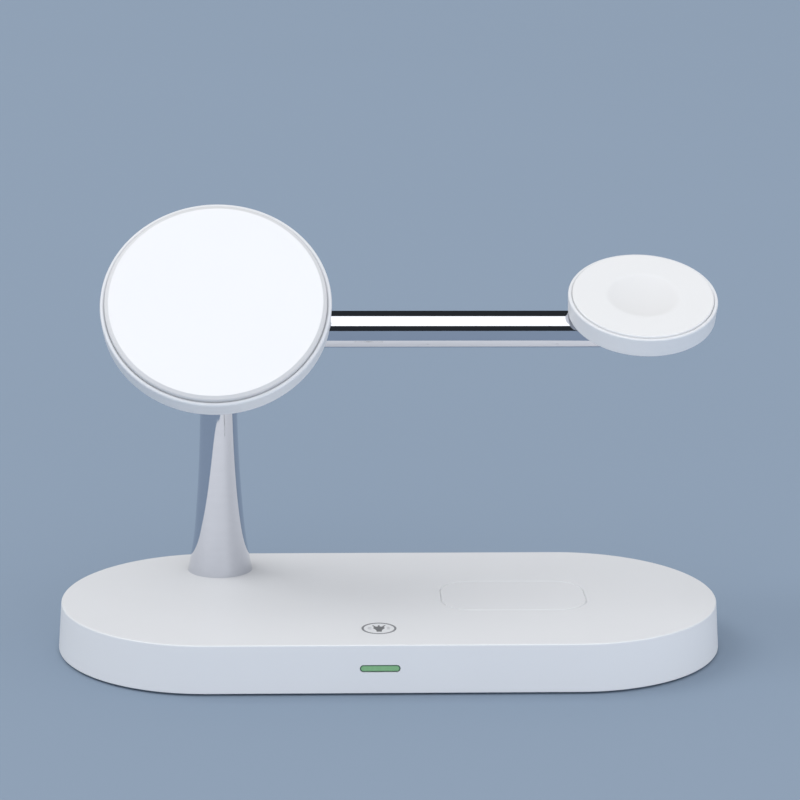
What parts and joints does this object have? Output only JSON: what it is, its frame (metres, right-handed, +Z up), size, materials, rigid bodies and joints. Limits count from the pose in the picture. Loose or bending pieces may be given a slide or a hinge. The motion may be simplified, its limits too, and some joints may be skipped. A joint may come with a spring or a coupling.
{
  "type": "wireless charger",
  "caption": "Charging stand: oval weighted base, flared chrome post and cross arm carrying a tilting round phone head and a smaller tilting watch head.",
  "frame": {"origin": "on the surface that the charger stands on, under the middle of the base", "axes": "+X along the base towards the watch head, +Y to the back, +Z up"},
  "size_m": [0.1681, 0.0783, 0.1077],
  "materials": {
    "white_plastic": "fine satin moulding",
    "white_face": "smooth soft-touch face",
    "watch_white": "smooth face",
    "chrome": "polished plating",
    "green_window": "clear tinted window",
    "grey_rubber": "matt silicone",
    "steel": "plated",
    "brass": "turned",
    "copper": "enamelled wire",
    "ferrite": "sintered",
    "board_green": "solder mask",
    "black_plastic": "moulded",
    "lamp_white": "lamp lens",
    "foam": "conductive foam",
    "cable_black": "sheath"
  },
  "bodies": {
    "stand": {"anti_slip_pad": "grey_rubber", "arm_end_cap": "chrome", "base_bottom_plate": "white_plastic", "base_screws": "steel", "base_top_cover": "white_plastic", "control_board": "board_green", "counterweight": "steel", "cross_arm": "chrome", "driver_chips": "black_plastic", "earbuds_coil": "copper", "earbuds_ferrite": "ferrite", "indicator_lamps": "lamp_white", "indicator_window": "green_window", "inlet_shell": "steel", "inlet_tongue": "black_plastic", "post_nut": "steel", "post_washer": "steel", "power_choke": "ferrite", "stand_cable": "cable_black", "stand_post": "chrome", "touch_electrode": "copper", "touch_foam": "foam", "watch_hinge_bush": "brass", "watch_hinge_spacer": "black_plastic"},
    "phone_head": {"phone_clamp_left": "white_plastic", "phone_clamp_right": "white_plastic", "phone_clamp_screws": "steel", "phone_coil": "copper", "phone_face_pad": "white_face", "phone_ferrite": "ferrite", "phone_lead": "cable_black", "phone_magnets": "steel", "phone_rear_shell": "white_plastic"},
    "watch_head": {"watch_coil": "copper", "watch_face": "watch_white", "watch_ferrite": "ferrite", "watch_hinge_clip": "steel", "watch_hinge_pin": "steel", "watch_lead": "cable_black", "watch_magnet": "steel", "watch_rear_shell": "white_plastic"}
  },
  "joints": [
    {"name": "phone_tilt", "type": "hinge", "parent": "stand", "child": "phone_head", "pos_m": [-0.0438, 0.0243, 0.0767], "axis": [1, 0, 0], "range_deg": [-29.1, 40.9]},
    {"name": "watch_tilt", "type": "hinge", "parent": "stand", "child": "watch_head", "pos_m": [0.0651, 0.0243, 0.0767], "axis": [1, 0, 0], "range_deg": [-23.9, 66.1]}
  ]
}
